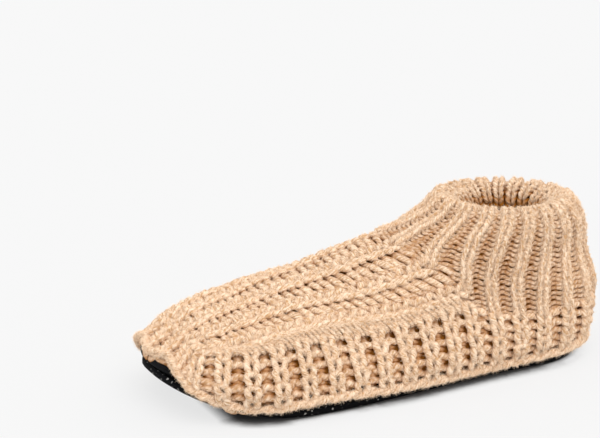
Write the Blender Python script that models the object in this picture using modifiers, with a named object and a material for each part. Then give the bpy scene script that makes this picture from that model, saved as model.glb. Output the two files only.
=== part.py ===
"""Knitted slipper sock: a hollow rib-knit upper, a thin flexible sole and an insole.

The toe points along +X, +Z is up, and both sides of Y = 0 are alike, so it fits either foot.
Sizes and tables are in millimetres, and become metres where a mesh is made.
"""
import math

import bpy
import numpy as np

MM = 0.001
OBJECT_NAME = "slipper_sock"

# Outline of the knit's lower edge, seen from above
TOE_X = 120.2
HEEL_X = -114.3
BALL_X = 49.7
BALL_HALF_WIDTH = 46.2
HEEL_CENTRE_X = -76.3
HEEL_HALF_WIDTH = 35.5
TOE_ROUNDNESS = 2.35
HEEL_ROUNDNESS = 2.2
OUTLINE_POINTS = 160

# Sole and insole
SOLE_THICKNESS = 4.0
SOLE_INSET = 0.8
SOLE_EDGE_ROUND = 1.0
TOE_SPRING = 17.0
SPRING_START_X = 49.7
HEEL_LIFT = 2.5
LIFT_START_X = -94.3
INSOLE_THICKNESS = 2.5
GAP = 0.3
SLAB_COLUMNS = 42

# Knitted wall
WALL = 4.0
HEM_WALL = 14.0
RIB_RELIEF = 1.5
LOWER_EDGE_RELIEF = 0.6
CREST_RELIEF = 0.6
COLUMNS_PER_RIB = 4
VAMP_RIBS = 2.5
SIDE_RIBS = 11
HEEL_RIBS = 7.5
BAND_ROWS = 4
VAMP_ROW_STEP = 2
TUCK = 12.0
TUCK_ANGLE = 41.0
TOP_TUCK = 7.2

# Stations along the lower edge, where the band's top line is given
CORNER_HALF_WIDTH = 30.0
WAIST_X = 2.7
THROAT_X = -35.8

# Top of the side band: how far in from the lower edge, how high, and how steeply the wall rises there
BAND_TOP = {
    #           inset height slope
    "toe":     (13.5, 35.0, 50.0),
    "corner":  (7.0, 33.5, 48.0),
    "ball":    (9.5, 39.5, 58.0),
    "waist":   (6.8, 40.0, 64.0),
    "throat":  (5.5, 46.5, 76.0),
    "quarter": (-5.6, 40.0, 86.0),
    "heel":    (-8.5, 33.0, 97.0),
}

# Middle of the vamp, on the row that ends at the band's station of the same name
VAMP_MIDDLE = {
    #          x     height
    "ball":   (69.7, 50.0),
    "waist":  (32.7, 59.4),
    "throat": (1.7, 68.0),
}

# Level rings of the shaft: an ellipse that is higher in front by its tilt
SHAFT_RINGS = {
    #            centre  half   half   height tilt
    #            x       length width
    "ankle":    (-73.1, 46.9, 35.2, 63.7, 10.4),
    "shoulder": (-75.0, 41.0, 34.0, 75.5, 1.8),
    "crest":    (-75.0, 34.0, 29.5, 81.6, 1.0),
}

# Half of the angle that the vamp's arch turns through, from edge to middle
THROAT_ANGLE = math.radians(50.0)
FLATTEST_ARCH = math.radians(25.0)
ROUNDEST_ARCH = math.radians(75.0)
LOWEST_ARCH = 1.0

# The wall's depth is measured level, and no longer square to the wall, between these shaft levels
LEVEL_FROM = 1.1
LEVEL_AT = 1.5
LEVEL_AT_EDGE = (1.0, 0.4, 0.0, 0.0)

# Rows of the shaft, counted from the band's top (0) by ankle (1) and shoulder (2) to the crest (3)
SHAFT_LEVELS = {
    #           level  thickness
    "quarter":  (0.35, WALL),
    "under":    (0.70, WALL),
    "ankle":    (1.00, WALL),
    "tuck":     (1.35, WALL + 1.0),
    "hem":      (1.45, 0.8 * HEM_WALL),
    "leaf":     (1.75, HEM_WALL),
    "shoulder": (2.00, HEM_WALL),
    "roll":     (2.55, 0.62 * HEM_WALL),
    "crest":    (3.00, 0.0),
}

# Finishes
FINISHES = {
    #               colour                 roughness
    "knit_yarn":   ((0.62, 0.40, 0.23), 0.90),
    "sole_black":  ((0.012, 0.012, 0.013), 0.80),
    "insole_felt": ((0.50, 0.36, 0.24), 0.95),
}

# Points nearer than this to the plane of symmetry lie on it
ON_MIDDLE = 1e-6
MERGE_DISTANCE = 0.00001
UP = np.array([0.0, 0.0, 1.0])
ACROSS = np.array([0.0, 1.0, 0.0])


def ease(t):
    """Rise smoothly from 0 to 1."""
    t = np.clip(t, 0.0, 1.0)
    return t * t * (3.0 - 2.0 * t)


def cubic(start, start_slope, end, end_slope, t):
    """A cubic from start to end that leaves and arrives with the given slopes."""
    return ((2 * t**3 - 3 * t**2 + 1) * start + (t**3 - 2 * t**2 + t) * start_slope
            + (3 * t**2 - 2 * t**3) * end + (t**3 - t**2) * end_slope)


def smooth_table(knots, values, where):
    """Read a table of numbers smoothly between its knots, level at both ends."""
    knots = np.asarray(knots, float)
    values = np.asarray(values, float)
    slopes = np.gradient(values, knots)
    slopes[0] = slopes[-1] = 0.0
    i = np.clip(np.searchsorted(knots, where) - 1, 0, len(knots) - 2)
    span = knots[i + 1] - knots[i]
    return cubic(values[i], span * slopes[i], values[i + 1], span * slopes[i + 1], (where - knots[i]) / span)


def smooth_path(points, where, start_direction, end_direction):
    """Points on a smooth path through the given points, at fractional row numbers."""
    points = np.asarray(points, float)
    along = np.r_[0.0, np.cumsum(np.linalg.norm(np.diff(points, axis=0), axis=1))]
    slopes = np.gradient(points, along, axis=0)
    slopes[0], slopes[-1] = start_direction, end_direction
    at = np.interp(where, np.arange(len(points)), along)
    i = np.clip(np.searchsorted(along, at, side="right") - 1, 0, len(points) - 2)
    span = (along[i + 1] - along[i])[:, None]
    t = (at - along[i])[:, None] / span
    return cubic(points[i], span * slopes[i], points[i + 1], span * slopes[i + 1], t)


def lower_edge():
    """Half of the lower edge from toe to heel: x, y and the distance along it."""
    angle = np.linspace(0.0, math.pi / 2, OUTLINE_POINTS)
    sine, cosine = np.sin(angle), np.cos(angle)
    toe_x = BALL_X + (TOE_X - BALL_X) * cosine ** (2 / TOE_ROUNDNESS)
    toe_y = BALL_HALF_WIDTH * sine ** (2 / TOE_ROUNDNESS)
    part = np.linspace(0.0, 1.0, OUTLINE_POINTS)[1:-1]
    side_x = BALL_X + (HEEL_CENTRE_X - BALL_X) * part
    side_y = BALL_HALF_WIDTH + (HEEL_HALF_WIDTH - BALL_HALF_WIDTH) * ease(part)
    heel_x = HEEL_CENTRE_X + (HEEL_X - HEEL_CENTRE_X) * sine ** (2 / HEEL_ROUNDNESS)
    heel_y = HEEL_HALF_WIDTH * cosine ** (2 / HEEL_ROUNDNESS)
    x = np.r_[toe_x, side_x, heel_x]
    y = np.r_[toe_y, side_y, heel_y]
    return x, y, np.r_[0.0, np.cumsum(np.hypot(np.diff(x), np.diff(y)))]


EDGE_X, EDGE_Y, EDGE_RUN = lower_edge()
EDGE_LENGTH = EDGE_RUN[-1]


def edge_point(run):
    """The lower edge at a distance from the toe, continued on the other side past both ends."""
    inside = np.abs(run)
    inside = np.where(inside > EDGE_LENGTH, 2 * EDGE_LENGTH - inside, inside)
    side = np.where((run < 0) | (run > EDGE_LENGTH), -1.0, 1.0)
    return np.interp(inside, EDGE_RUN, EDGE_X), side * np.interp(inside, EDGE_RUN, EDGE_Y)


def edge_outward(run):
    """Level direction straight out from the lower edge."""
    reach = 2.0
    x1, y1 = edge_point(run + reach)
    x0, y0 = edge_point(run - reach)
    out = np.stack([y1 - y0, x0 - x1, 0.0 * x1], -1)
    return out / np.linalg.norm(out, axis=-1, keepdims=True)


def lift(x):
    """How far the underside rises off the floor: the toe spring and the rounded heel."""
    toe = np.clip((x - SPRING_START_X) / (TOE_X - SPRING_START_X), 0.0, None)
    heel = np.clip((LIFT_START_X - x) / (LIFT_START_X - HEEL_X), 0.0, None)
    return TOE_SPRING * toe**2 + HEEL_LIFT * heel**2


def stations():
    """Distance along the lower edge of each named station of the band's top."""
    toe_half = slice(0, OUTLINE_POINTS)
    corner = np.interp(CORNER_HALF_WIDTH, EDGE_Y[toe_half], EDGE_RUN[toe_half])
    ball, waist, throat = (np.interp(-x, -EDGE_X, EDGE_RUN) for x in (BALL_X, WAIST_X, THROAT_X))
    return {"toe": 0.0, "corner": corner, "ball": ball, "waist": waist, "throat": throat,
            "quarter": (throat + EDGE_LENGTH) / 2, "heel": EDGE_LENGTH}


def shaft_angles(count):
    """Angles round the shaft from throat to back, spaced evenly along the ankle's ring."""
    _, half_length, half_width, _, _ = SHAFT_RINGS["ankle"]
    fine = np.linspace(THROAT_ANGLE, math.pi, OUTLINE_POINTS)
    pace = np.hypot(half_length * np.sin(fine), half_width * np.cos(fine))
    along = np.r_[0.0, np.cumsum((pace[1:] + pace[:-1]) / 2)]
    return np.interp(np.linspace(0.0, along[-1], count), along, fine)


def shaft_ring(name, angle):
    """A point of a shaft ring: angle 0 is the front, and pi the back."""
    centre_x, half_length, half_width, height, tilt = SHAFT_RINGS[name]
    cosine, sine = np.cos(angle), np.sin(angle)
    return np.stack([centre_x + half_length * cosine, half_width * sine, height + tilt * cosine], -1)


class UpperForm:
    """The smooth outer surface of one half of the upper, as three grids of points.

    band:  rows from the lower edge up to the band's top, columns from the toe round to the heel
    shaft: rows from the band's top up to the crest, columns from the throat round to the back
    vamp:  rows from the toe up the foot and the shaft's front, columns from the middle to the edge
    """

    def __init__(self, levels):
        self.corner = round(VAMP_RIBS * COLUMNS_PER_RIB)
        self.throat = self.corner + round(SIDE_RIBS * COLUMNS_PER_RIB)
        self.heel = self.throat + round(HEEL_RIBS * COLUMNS_PER_RIB)
        self.place = stations()
        self.levels = np.asarray(levels, float)
        self.lay_band_top()
        self.shaft = self.lay_shaft()
        self.vamp = self.lay_vamp()
        self.band = self.lay_band(np.linspace(0.0, 1.0, BAND_ROWS + 1))

    def lay_band_top(self):
        """Lower edge, band top and wall direction at each column."""
        place = self.place
        column = np.arange(self.heel + 1)
        run = np.interp(column, [0, self.corner, self.throat, self.heel],
                        [place[name] for name in ("toe", "corner", "throat", "heel")])
        knots = [place[name] for name in BAND_TOP]
        inset, height, slope = (smooth_table(knots, values, run) for values in zip(*BAND_TOP.values()))
        slope = np.radians(slope)[:, None]
        x, y = edge_point(run)
        self.run = run
        self.out = edge_outward(run)
        self.edge = np.stack([x, y, SOLE_THICKNESS + GAP + lift(x)], -1)
        self.top = np.stack([x, y, height], -1) - self.out * inset[:, None]
        self.rise = UP * np.sin(slope) - self.out * np.cos(slope)
        self.slope = slope[:, 0]

    def lay_shaft(self):
        """Each column behind the throat, from the band's top by ankle and shoulder to the crest."""
        grid = []
        for column, angle in enumerate(shaft_angles(self.heel - self.throat + 1), self.throat):
            stops = [self.top[column]] + [shaft_ring(name, angle) for name in SHAFT_RINGS]
            inward = np.array([-math.cos(angle), -math.sin(angle), 0.0])
            grid.append(smooth_path(stops, self.levels, self.rise[column], inward))
        return np.stack(grid, 1)

    def lay_vamp(self):
        """Arched rows from edge to edge: along the band's top first, then up the shaft's front."""
        place = self.place
        middle = [self.top[0]] + [np.array([x, 0.0, z]) for x, z in VAMP_MIDDLE.values()]
        middle += [shaft_ring(name, 0.0) for name in SHAFT_RINGS]
        knots = [place[name] for name in ("corner", "ball", "waist", "throat")]
        front_rows = np.interp(self.run[self.corner:self.throat + 1], knots, [0, 1, 2, 3])
        rows = np.r_[front_rows, 3.0 + self.levels[1:]]
        crown = smooth_path(middle, rows, self.rise[0], np.array([-1.0, 0.0, 0.0]))
        side = np.concatenate([self.top[self.corner:self.throat + 1], self.shaft[1:, 0]])
        base = side * np.array([1.0, 0.0, 1.0])
        arch = crown - base
        steep = np.tan(self.slope[self.corner:self.throat + 1])
        flat = steep * side[:len(steep), 1] / np.maximum(arch[:len(steep), 2], LOWEST_ARCH) - 1.0
        bend = np.clip(1.0 / np.maximum(flat, 1.0), math.cos(ROUNDEST_ARCH), math.cos(FLATTEST_ARCH))
        share = ease(np.linspace(-1.0, 1.0, len(steep)))
        bend = bend * (1.0 - share) + math.cos(THROAT_ANGLE) * share
        bend = np.r_[bend, np.full(len(rows) - len(steep), math.cos(THROAT_ANGLE))]
        reach = np.arccos(bend)[:, None]
        angle = reach * np.linspace(0.0, 1.0, self.corner + 1)
        upward = (np.cos(angle) - bend[:, None]) / (1.0 - bend[:, None])
        sideways = side[:, 1:2] * np.sin(angle) / np.sin(reach)
        return base[:, None] + arch[:, None] * upward[..., None] + ACROSS * sideways[..., None]

    def lay_band(self, rows):
        """Each column of the side band, swelling out from the lower edge and up to its top."""
        top = self.top.copy()
        top[:self.corner + 1] = self.vamp[0]
        self.top = top
        chord = np.linalg.norm(top - self.edge, axis=1)[:, None]
        tuck = math.radians(TUCK_ANGLE)
        leave = (self.out * math.cos(tuck) + UP * math.sin(tuck)) * (chord + TUCK)
        arrive = self.rise * (chord + TOP_TUCK)
        return np.stack([cubic(self.edge, leave, top, arrive, t) for t in rows])


class HalfShell:
    """Half of the upper's skin: shared points, faces, and what each point needs to be moved."""

    def __init__(self):
        self.form = UpperForm([0.0] + [level for level, _ in SHAFT_LEVELS.values()])
        self.points = []
        self.ribs = []
        self.relief = []
        self.depth = []
        self.level_out = []
        self.faces = []
        self.number_points()
        self.join_faces()

    def add(self, point, ribs, relief, depth, level_out):
        """Keep one point: its rib count, its share of the relief, the wall and the way it is offset."""
        self.points.append(point)
        self.ribs.append(ribs)
        self.relief.append(relief)
        self.depth.append(depth)
        self.level_out.append(level_out)
        return len(self.points) - 1

    def number_points(self):
        """Number the band, then the shaft, then the vamp, and share the points where they meet."""
        form = self.form
        depths = [WALL] + [depth for _, depth in SHAFT_LEVELS.values()]
        level_out = ease((form.levels - LEVEL_FROM) / (LEVEL_AT - LEVEL_FROM))
        relief = np.where(form.levels == form.levels[-1], CREST_RELIEF / RIB_RELIEF, 1.0)
        front_rows = form.throat - form.corner + 1
        ribs = (np.arange(form.heel + 1) - form.throat) / COLUMNS_PER_RIB

        self.band = np.zeros((BAND_ROWS + 1, form.heel + 1), int)
        for row in range(BAND_ROWS):
            low = LEVEL_AT_EDGE[row]
            share = LOWER_EDGE_RELIEF / RIB_RELIEF if row == 0 else 1.0
            for column in range(form.heel + 1):
                self.band[row, column] = self.add(form.band[row, column], ribs[column], share, WALL, low)
        self.shaft = np.zeros((len(depths), form.heel - form.throat + 1), int)
        for row, depth in enumerate(depths):
            for step in range(form.heel - form.throat + 1):
                self.shaft[row, step] = self.add(form.shaft[row, step], ribs[form.throat + step],
                                                 relief[row], depth, level_out[row])
        self.band[BAND_ROWS, form.throat:] = self.shaft[0]

        self.vamp = {}
        for row in range(0, front_rows, VAMP_ROW_STEP):
            last = form.corner if row < front_rows - 1 else form.corner - 1
            for step in range(last + 1):
                self.vamp[row, step] = self.add(form.vamp[row, step], ribs[step], 1.0, WALL, 0.0)
        for row in range(1, len(depths)):
            for step in range(form.corner):
                at = front_rows - 1 + row
                self.vamp[at, step] = self.add(form.vamp[at, step], ribs[step], relief[row],
                                               depths[row], level_out[row])
            self.vamp[front_rows - 1 + row, form.corner] = self.shaft[row, 0]
        self.vamp[front_rows - 1, form.corner] = self.shaft[0, 0]
        for step in range(form.corner + 1):
            self.band[BAND_ROWS, step] = self.vamp[0, step]
        for row in range(1, front_rows):
            if (row, form.corner) not in self.vamp:
                self.vamp[row, form.corner] = self.add(form.vamp[row, form.corner], 0.0, 1.0, WALL, 0.0)
            self.band[BAND_ROWS, form.corner + row] = self.vamp[row, form.corner]
        self.front_rows = front_rows

    def join_faces(self):
        """Quads between neighbouring rows. The vamp's last column takes up the edge points it skips."""
        form = self.form
        for grid in (self.band, self.shaft):
            for row in range(grid.shape[0] - 1):
                for column in range(grid.shape[1] - 1):
                    self.faces.append((grid[row, column], grid[row, column + 1],
                                       grid[row + 1, column + 1], grid[row + 1, column]))
        rows = list(range(0, self.front_rows, VAMP_ROW_STEP))
        rows += list(range(self.front_rows, self.front_rows + self.shaft.shape[0] - 1))
        for low, high in zip(rows, rows[1:]):
            for step in range(form.corner):
                face = [self.vamp[low, step], self.vamp[low, step + 1]]
                if step == form.corner - 1:
                    face += [self.vamp[row, form.corner] for row in range(low + 1, high)]
                self.faces.append((*face, self.vamp[high, step + 1], self.vamp[high, step]))

    def normals(self):
        """Outward direction at each point, level with the plane of symmetry on that plane."""
        points = np.asarray(self.points)
        total = np.zeros_like(points)
        for face in self.faces:
            corners = points[list(face)]
            turn = np.cross(corners[2] - corners[0], corners[-1] - corners[1])
            total[list(face)] += turn
        total[np.abs(points[:, 1]) < ON_MIDDLE, 1] = 0.0
        return total / np.linalg.norm(total, axis=1, keepdims=True)

    def solid(self):
        """Points and faces of the half wall: ribbed skin, plain lining, and the rims that join them."""
        points = np.asarray(self.points)
        normals = self.normals()
        ridge = np.cos(2.0 * math.pi * np.asarray(self.ribs)) * np.asarray(self.relief)
        skin = points + normals * (ridge * RIB_RELIEF)[:, None]
        inward = normals - UP * (normals[:, 2] * np.asarray(self.level_out))[:, None]
        inward /= np.linalg.norm(inward, axis=1, keepdims=True)
        depth = np.asarray(self.depth)
        lining = points - inward * depth[:, None]
        skin[self.band[0], 2] = lining[self.band[0], 2] = points[self.band[0], 2]

        count = len(points)
        crest = set(self.shaft[-1]) | {self.vamp[self.front_rows + self.shaft.shape[0] - 2, step]
                                       for step in range(self.form.corner + 1)}
        inner = [index if index in crest else count + index for index in range(count)]
        faces = list(self.faces)
        faces += [tuple(inner[index] for index in reversed(face)) for face in self.faces]
        low = self.band[0]
        for left, right in zip(low, low[1:]):
            faces.append((inner[left], inner[right], right, left))
        return np.concatenate([skin, lining]), faces


def material(name):
    """A plain finish for one piece."""
    colour, roughness = FINISHES[name]
    finish = bpy.data.materials.new(name)
    finish.use_nodes = True
    shader = finish.node_tree.nodes["Principled BSDF"]
    shader.inputs["Base Color"].default_value = (*colour, 1.0)
    shader.inputs["Roughness"].default_value = roughness
    shader.inputs["Metallic"].default_value = 0.0
    return finish


def mirrored_piece(name, points, faces, finish, collection):
    """A piece from its half at positive Y, mirrored across the middle."""
    used = sorted({index for face in faces for index in face})
    renumber = {index: new for new, index in enumerate(used)}
    mesh = bpy.data.meshes.new(name)
    mesh.from_pydata([tuple(MM * points[index]) for index in used], [],
                     [tuple(renumber[index] for index in face) for face in faces])
    mesh.materials.append(finish)
    mesh.shade_smooth()
    piece = bpy.data.objects.new(name, mesh)
    collection.objects.link(piece)
    mirror = piece.modifiers.new("Both sides", "MIRROR")
    mirror.use_axis = (False, True, False)
    mirror.use_mirror_merge = True
    mirror.merge_threshold = MERGE_DISTANCE


def make_upper(collection):
    """The knitted wall: open at the collar and underneath, with ribs outside and a thick folded hem."""
    points, faces = HalfShell().solid()
    mirrored_piece("upper", points, faces, material("knit_yarn"), collection)


def slab(inset, low, thickness, edge_round):
    """Half of a sheet that follows the lower edge's outline and the toe spring."""
    run = np.linspace(0.0, EDGE_LENGTH, SLAB_COLUMNS + 1)
    x, y = edge_point(run)
    out = edge_outward(run)
    profile = [(edge_round, 0.0), (0.0, edge_round), (0.0, thickness - edge_round), (edge_round, thickness)]
    points = []
    for back, height in profile:
        ring = np.stack([x, y, 0.0 * x], -1) - out * (inset + back)
        ring[:, 1] = np.where((run <= 0) | (run >= EDGE_LENGTH), 0.0, ring[:, 1])
        ring[:, 2] = lift(x) + low + height
        points.append(ring)
    spine = [points[0] * (1, 0, 1), points[-1] * (1, 0, 1)]
    points += spine
    width = len(run)
    faces = []
    for row in range(len(profile) - 1):
        for column in range(width - 1):
            at = row * width + column
            faces.append((at, at + 1, at + 1 + width, at + width))
    for ring, middle, turned in ((0, len(profile), False), (len(profile) - 1, len(profile) + 1, True)):
        for column in range(width - 1):
            edge = [ring * width + column, ring * width + column + 1]
            inner = [middle * width + column + 1, middle * width + column]
            if column == 0:
                inner = [inner[0]]
            if column == width - 2:
                inner = [inner[-1]]
            face = edge + inner
            faces.append(tuple(face) if turned else tuple(reversed(face)))
    return np.concatenate(points), faces


def make_sole(collection):
    """The thin sole under the knit's lower edge, flat from ball to heel."""
    points, faces = slab(SOLE_INSET, 0.0, SOLE_THICKNESS, SOLE_EDGE_ROUND)
    mirrored_piece("sole", points, faces, material("sole_black"), collection)


def make_insole(collection):
    """The pad that lies on the sole inside the knit's lower edge."""
    points, faces = slab(WALL + 2 * GAP, SOLE_THICKNESS + GAP, INSOLE_THICKNESS, GAP)
    mirrored_piece("insole", points, faces, material("insole_felt"), collection)


def main():
    for old in list(bpy.data.objects):
        bpy.data.objects.remove(old, do_unlink=True)
    collection = bpy.data.collections.new(OBJECT_NAME)
    bpy.context.scene.collection.children.link(collection)
    make_upper(collection)
    make_sole(collection)
    make_insole(collection)


main()
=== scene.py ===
"""Knitted slipper sock: the knit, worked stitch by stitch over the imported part, and its studio.

Laid out as an add-on. Each operator makes a piece or two of the sock, and the last one makes the stage.
The upper's form is worked out here in millimetres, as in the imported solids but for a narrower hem, and
becomes metres where a mesh is made.
"""

import math
from collections import namedtuple

import bpy
import numpy as np
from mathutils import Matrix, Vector


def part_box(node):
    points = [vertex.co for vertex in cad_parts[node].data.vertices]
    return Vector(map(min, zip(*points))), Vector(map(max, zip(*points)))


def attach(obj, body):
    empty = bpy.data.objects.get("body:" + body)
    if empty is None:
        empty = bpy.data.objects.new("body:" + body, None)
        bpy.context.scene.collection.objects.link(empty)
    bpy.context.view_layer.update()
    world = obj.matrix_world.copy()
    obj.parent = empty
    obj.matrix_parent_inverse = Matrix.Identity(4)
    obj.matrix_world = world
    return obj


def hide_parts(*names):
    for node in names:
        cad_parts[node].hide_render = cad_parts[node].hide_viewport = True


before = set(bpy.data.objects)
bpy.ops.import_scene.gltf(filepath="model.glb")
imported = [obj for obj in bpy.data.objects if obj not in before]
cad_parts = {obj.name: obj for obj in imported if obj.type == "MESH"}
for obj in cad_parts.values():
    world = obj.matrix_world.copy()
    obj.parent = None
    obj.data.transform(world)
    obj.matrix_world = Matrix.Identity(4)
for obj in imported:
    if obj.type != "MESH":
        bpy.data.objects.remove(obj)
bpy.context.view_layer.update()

bl_info = {
    "name": "Knitted Slipper Sock",
    "version": (1, 0, 0),
    "blender": (4, 5, 0),
    "location": "3D View > Sidebar > Sock",
    "description": "Knits a ribbed slipper sock over its packed form and sets up its studio",
    "category": "Add Mesh",
}

MM = 0.001
SEED = 11
UP = np.array([0.0, 0.0, 1.0])
ACROSS = np.array([0.0, 1.0, 0.0])
MIRROR = np.array([1.0, -1.0, 1.0])

# The sole and insole as packed
SOLE_INSET = 0.8
SOLE_LOW, SOLE_HIGH = (np.array(corner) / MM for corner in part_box("sole"))
GAP = 0.3

# Outline of the knit's lower edge, seen from above
TOE_X = SOLE_HIGH[0] + SOLE_INSET
HEEL_X = SOLE_LOW[0] - SOLE_INSET
BALL_X = 49.7
BALL_HALF_WIDTH = SOLE_HIGH[1] + SOLE_INSET
HEEL_CENTRE_X = -76.3
HEEL_HALF_WIDTH = 35.5
TOE_ROUNDNESS = 2.35
HEEL_ROUNDNESS = 2.2
OUTLINE_POINTS = 160
SOLE_THICKNESS = 4.0
SPRING_START_X = 49.7
TOE_SPRING = 17.0
LIFT_START_X = -94.3
HEEL_LIFT = 2.5

# Ribs of one half: across the vamp, along its edge, and from its corner round to the heel
VAMP_RIBS = 2.5
SIDE_RIBS = 11
HEEL_RIBS = 7.5
COLUMNS_PER_RIB = 8
CORNER = round(VAMP_RIBS * COLUMNS_PER_RIB)
THROAT = CORNER + SIDE_RIBS * COLUMNS_PER_RIB
HEEL = THROAT + round(HEEL_RIBS * COLUMNS_PER_RIB)
BAND_STEPS = 32
TUCK = 12.0
TUCK_ANGLE = 41.0
TOP_TUCK = 7.2

# Stations along the lower edge, where the band's top line is given
CORNER_HALF_WIDTH = 30.0
WAIST_X = 2.7
THROAT_X = -35.8

# Top of the side band: how far in from the lower edge, how high, and how steeply the wall rises there
BAND_TOP = {
    #           inset height slope
    "toe":     (13.5, 35.0, 50.0),
    "corner":  (7.0, 33.5, 48.0),
    "ball":    (9.5, 39.5, 58.0),
    "waist":   (6.8, 40.0, 64.0),
    "throat":  (5.5, 46.5, 76.0),
    "quarter": (-5.6, 40.0, 86.0),
    "heel":    (-8.5, 33.0, 97.0),
}

# Middle of the vamp, on the row that ends at the band's station of the same name
VAMP_MIDDLE = {
    #          x     height
    "ball":   (69.7, 50.0),
    "waist":  (32.7, 59.4),
    "throat": (1.7, 68.0),
}

# Level rings of the shaft: an ellipse that is higher in front by its tilt
SHAFT_RINGS = {
    #            centre  half   half   height tilt
    #            x       length width
    "ankle":    (-73.1, 46.9, 35.2, 63.7, 10.4),
    "shoulder": (-75.0, 41.0, 34.0, 75.5, 1.8),
    "crest":    (-75.0, 34.0, 29.5, 81.6, 1.0),
}

# The hem's inner leaf, from the crest down inside the shaft
HEM_RINGS = {
    "crest":    SHAFT_RINGS["crest"],
    "roll":     (-74.5, 25.0, 22.5, 79.0, 1.0),
    "wall":     (-74.5, 21.5, 18.8, 74.0, 1.0),
    "edge":     (-74.5, 23.5, 20.5, 63.0, 3.0),
}
THROAT_ANGLE = math.radians(50.0)
FLATTEST_ARCH = math.radians(25.0)
ROUNDEST_ARCH = math.radians(75.0)
LOWEST_ARCH = 1.0
LEVEL_STEPS = 72
HEM_STEPS = 36


# Curves and tables

def ease(t):
    """Rise smoothly from 0 to 1."""
    t = np.clip(t, 0.0, 1.0)
    return t * t * (3.0 - 2.0 * t)


def cubic(start, start_slope, end, end_slope, t):
    """A cubic from start to end that leaves and arrives with the given slopes."""
    return ((2 * t**3 - 3 * t**2 + 1) * start + (t**3 - 2 * t**2 + t) * start_slope
            + (3 * t**2 - 2 * t**3) * end + (t**3 - t**2) * end_slope)


def smooth_table(knots, values, where):
    """Read a table of numbers smoothly between its knots, level at both ends."""
    knots = np.asarray(knots, float)
    values = np.asarray(values, float)
    slopes = np.gradient(values, knots)
    slopes[0] = slopes[-1] = 0.0
    i = np.clip(np.searchsorted(knots, where) - 1, 0, len(knots) - 2)
    span = knots[i + 1] - knots[i]
    return cubic(values[i], span * slopes[i], values[i + 1], span * slopes[i + 1], (where - knots[i]) / span)


def smooth_path(points, where, start_direction, end_direction):
    """Points on a smooth path through the given points, at fractional row numbers."""
    points = np.asarray(points, float)
    along = lengths(points)
    slopes = np.gradient(points, along, axis=0)
    slopes[0], slopes[-1] = start_direction, end_direction
    at = np.interp(where, np.arange(len(points)), along)
    i = np.clip(np.searchsorted(along, at, side="right") - 1, 0, len(points) - 2)
    span = (along[i + 1] - along[i])[:, None]
    t = (at - along[i])[:, None] / span
    return cubic(points[i], span * slopes[i], points[i + 1], span * slopes[i + 1], t)


def unit(vectors):
    """Vectors of the same directions, one long."""
    return vectors / np.linalg.norm(vectors, axis=-1, keepdims=True)


def lengths(points):
    """Distance along a line of points."""
    return np.r_[0.0, np.cumsum(np.linalg.norm(np.diff(points, axis=0), axis=1))]


def read_line(points, knots, where):
    """Points of a line at the given knots, carried straight on past both ends."""
    inside = np.stack([np.interp(where, knots, points[:, axis]) for axis in range(3)], -1)
    before = np.minimum(where - knots[0], 0.0)[:, None]
    after = np.maximum(where - knots[-1], 0.0)[:, None]
    first = (points[1] - points[0]) / (knots[1] - knots[0])
    last = (points[-1] - points[-2]) / (knots[-1] - knots[-2])
    return inside + before * first + after * last


# The lower edge

def lower_edge():
    """Half of the lower edge from toe to heel: x, y and the distance along it."""
    angle = np.linspace(0.0, math.pi / 2, OUTLINE_POINTS)
    sine, cosine = np.sin(angle), np.cos(angle)
    toe_x = BALL_X + (TOE_X - BALL_X) * cosine ** (2 / TOE_ROUNDNESS)
    toe_y = BALL_HALF_WIDTH * sine ** (2 / TOE_ROUNDNESS)
    part = np.linspace(0.0, 1.0, OUTLINE_POINTS)[1:-1]
    side_x = BALL_X + (HEEL_CENTRE_X - BALL_X) * part
    side_y = BALL_HALF_WIDTH + (HEEL_HALF_WIDTH - BALL_HALF_WIDTH) * ease(part)
    heel_x = HEEL_CENTRE_X + (HEEL_X - HEEL_CENTRE_X) * sine ** (2 / HEEL_ROUNDNESS)
    heel_y = HEEL_HALF_WIDTH * cosine ** (2 / HEEL_ROUNDNESS)
    x = np.r_[toe_x, side_x, heel_x]
    y = np.r_[toe_y, side_y, heel_y]
    return x, y, np.r_[0.0, np.cumsum(np.hypot(np.diff(x), np.diff(y)))]


EDGE_X, EDGE_Y, EDGE_RUN = lower_edge()
EDGE_LENGTH = EDGE_RUN[-1]


def edge_point(run):
    """The lower edge at a distance from the toe, continued on the other side past both ends."""
    run = (run + EDGE_LENGTH) % (2 * EDGE_LENGTH) - EDGE_LENGTH
    inside = np.abs(run)
    return np.interp(inside, EDGE_RUN, EDGE_X), np.sign(run) * np.interp(inside, EDGE_RUN, EDGE_Y)


def edge_outward(run):
    """Level direction straight out from the lower edge."""
    reach = 2.0
    x1, y1 = edge_point(run + reach)
    x0, y0 = edge_point(run - reach)
    return unit(np.stack([y1 - y0, x0 - x1, 0.0 * x1], -1))


def lift(x):
    """How far the underside rises off the floor: the toe spring and the rounded heel."""
    toe = np.clip((x - SPRING_START_X) / (TOE_X - SPRING_START_X), 0.0, None)
    heel = np.clip((LIFT_START_X - x) / (LIFT_START_X - HEEL_X), 0.0, None)
    return TOE_SPRING * toe**2 + HEEL_LIFT * heel**2


def stations():
    """Distance along the lower edge of each named station of the band's top."""
    toe_half = slice(0, OUTLINE_POINTS)
    corner = np.interp(CORNER_HALF_WIDTH, EDGE_Y[toe_half], EDGE_RUN[toe_half])
    ball, waist, throat = (np.interp(-x, -EDGE_X, EDGE_RUN) for x in (BALL_X, WAIST_X, THROAT_X))
    return {"toe": 0.0, "corner": corner, "ball": ball, "waist": waist, "throat": throat,
            "quarter": (throat + EDGE_LENGTH) / 2, "heel": EDGE_LENGTH}


# The upper's smooth outer surface

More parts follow.
